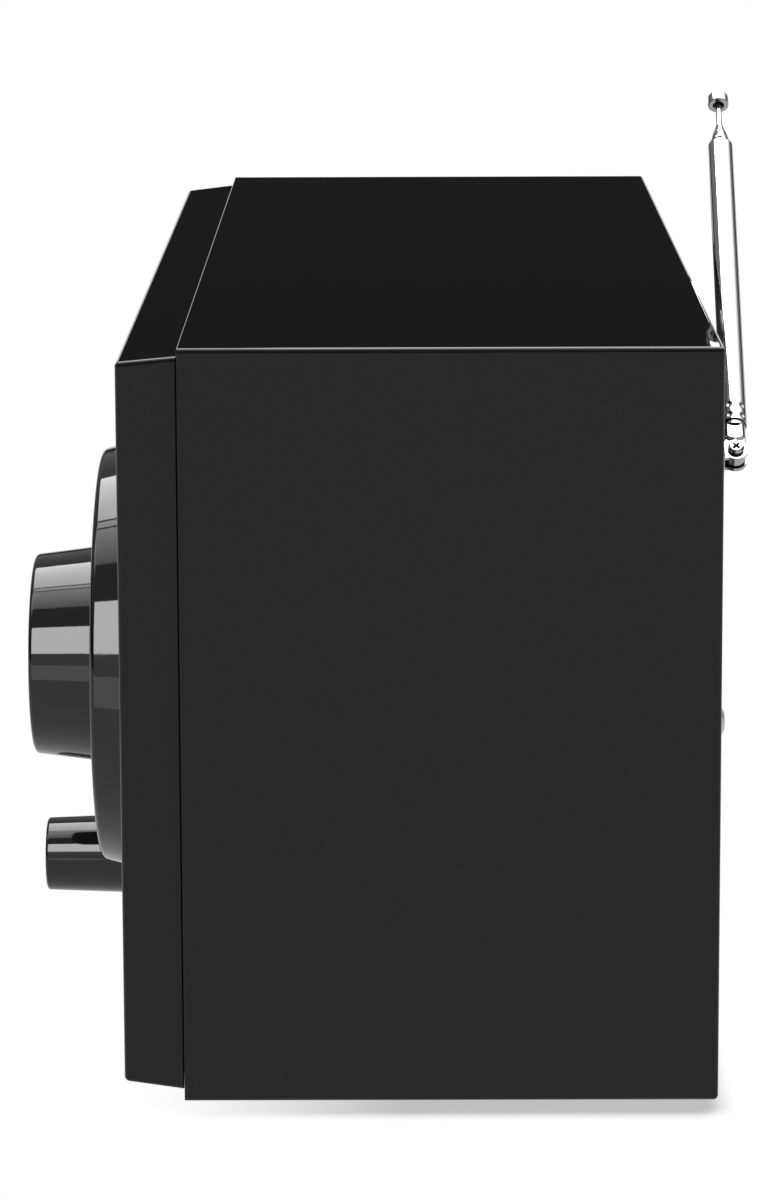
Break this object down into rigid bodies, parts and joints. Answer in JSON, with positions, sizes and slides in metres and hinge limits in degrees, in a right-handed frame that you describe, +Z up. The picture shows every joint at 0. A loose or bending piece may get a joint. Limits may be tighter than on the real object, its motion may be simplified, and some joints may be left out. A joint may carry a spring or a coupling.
{
  "type": "portable radio",
  "caption": "Gloss black box radio with a round tuning dial and knob, a small volume knob, a round speaker grille and a folding telescopic aerial at the back.",
  "frame": {"origin": "middle of the bounding box's footprint, on the surface that the feet stand on", "axes": "+X along the width, from the speaker towards the dial; +Y from the front panel to the back; +Z up"},
  "size_m": [0.266, 0.144, 0.171],
  "materials": {
    "aluminium": "plain sheet",
    "black_lacquer": "gloss lacquer over board",
    "black_plastic": "fine grained moulding",
    "board_green": "coated laminate",
    "brass": "machined",
    "capacitor_sleeve": "shrink sleeve",
    "cell_label": "printed sleeve on a metal can",
    "chrome": "bright plated",
    "clear_plastic": "clear, polished",
    "copper_wire": "enamelled copper winding",
    "dial_card": "printed dial card",
    "ferrite": "sintered ferrite",
    "foam_rubber": "soft surround",
    "foot_rubber": "soft moulding",
    "gloss_plastic": "polished black",
    "perforated_metal": "black perforated sheet",
    "pointer_red": "red moulding",
    "speaker_paper": "pressed paper",
    "wire_red": "insulated lead",
    "zinc_steel": "zinc plated"
  },
  "bodies": {
    "cabinet": {"aerial_mount": "chrome", "band_switch_body": "zinc_steel", "battery_1": "cell_label", "battery_2": "cell_label", "battery_3": "cell_label", "battery_4": "cell_label", "battery_box": "black_plastic", "cabinet_shell": "black_lacquer", "capacitor_frame": "aluminium", "capacitor_stator": "aluminium", "circuit_board": "board_green", "dc_jack": "black_plastic", "dial_bezel": "gloss_plastic", "dial_lens": "clear_plastic", "dial_scale": "dial_card", "dust_cap": "speaker_paper", "electrolytic_capacitor": "capacitor_sleeve", "ferrite_coil": "copper_wire", "ferrite_holder": "black_plastic", "ferrite_rod": "ferrite", "foot_1": "foot_rubber", "foot_2": "foot_rubber", "foot_3": "foot_rubber", "foot_4": "foot_rubber", "front_panel": "black_lacquer", "grille_ring": "gloss_plastic", "headphone_jack": "black_plastic", "rear_panel": "black_plastic", "rear_screw_1": "zinc_steel", "rear_screw_2": "zinc_steel", "rear_screw_3": "zinc_steel", "rear_screw_4": "zinc_steel", "speaker_back_plate": "zinc_steel", "speaker_cone": "speaker_paper", "speaker_frame": "zinc_steel", "speaker_grille": "perforated_metal", "speaker_lead": "wire_red", "speaker_magnet": "ferrite", "speaker_surround": "foam_rubber", "tuner_bracket": "zinc_steel", "tuning_bush": "brass", "volume_pot": "zinc_steel"},
    "tuning_drive": {"tuning_knob": "gloss_plastic", "tuning_shaft": "zinc_steel", "dial_pointer": "pointer_red", "drive_gear": "brass"},
    "tuning_capacitor": {"capacitor_gear": "brass", "capacitor_rotor": "aluminium"},
    "volume_control": {"volume_knob": "gloss_plastic", "volume_shaft": "aluminium"},
    "battery_cover": {"battery_door": "black_plastic"},
    "band_switch": {"band_switch_slider": "black_plastic"},
    "aerial_swivel": {"aerial_fork": "chrome", "aerial_screw": "chrome"},
    "aerial_mast": {"aerial_knuckle": "chrome", "aerial_tube_1": "chrome"},
    "aerial_section_2": {"aerial_tube_2": "chrome"},
    "aerial_section_3": {"aerial_tube_3": "chrome"},
    "aerial_whip": {"aerial_rod": "chrome", "aerial_tip": "chrome"}
  },
  "joints": [
    {"name": "tuning_turn", "type": "hinge", "parent": "cabinet", "child": "tuning_drive", "pos_m": [0.0724, -0.05111, 0.073], "axis": [0, 1, 0], "range_deg": [-135, 135]},
    {"name": "capacitor_turn", "type": "hinge", "parent": "cabinet", "child": "tuning_capacitor", "pos_m": [0.0724, -0.03991, 0.053], "axis": [0, 1, 0], "range_deg": [-92, 92]},
    {"name": "volume_turn", "type": "hinge", "parent": "cabinet", "child": "volume_control", "pos_m": [0.045, -0.05111, 0.025], "axis": [0, 1, 0], "range_deg": [-150, 150]},
    {"name": "battery_cover_hinge", "type": "hinge", "parent": "cabinet", "child": "battery_cover", "pos_m": [-0.055, 0.05729, 0.0165], "axis": [-1, 0, 0], "range_deg": [0, 95]},
    {"name": "band_switch_slide", "type": "slide", "parent": "cabinet", "child": "band_switch", "axis": [1, 0, 0], "range_m": [-0.0025, 0.0025]},
    {"name": "aerial_swing", "type": "hinge", "parent": "cabinet", "child": "aerial_swivel", "pos_m": [0.031, 0.06799, 0.1042], "axis": [0, 1, 0], "range_deg": [-39, 141]},
    {"name": "aerial_fold", "type": "hinge", "parent": "aerial_swivel", "child": "aerial_mast", "pos_m": [0.031, 0.06799, 0.1042], "axis": [-0.6293, 0, -0.7771], "range_deg": [-0.9, 88]},
    {"name": "aerial_pull_2", "type": "slide", "parent": "aerial_mast", "child": "aerial_section_2", "axis": [-0.777, 0.0161, 0.6292], "range_m": [0, 0.06]},
    {"name": "aerial_pull_3", "type": "slide", "parent": "aerial_section_2", "child": "aerial_section_3", "axis": [-0.777, 0.0161, 0.6292], "range_m": [0, 0.06]},
    {"name": "aerial_pull_whip", "type": "slide", "parent": "aerial_section_3", "child": "aerial_whip", "axis": [-0.777, 0.0161, 0.6292], "range_m": [0, 0.06]}
  ],
  "couplings": [
    {"joint": "capacitor_turn", "follows": "tuning_turn", "ratio": -0.66667}
  ]
}
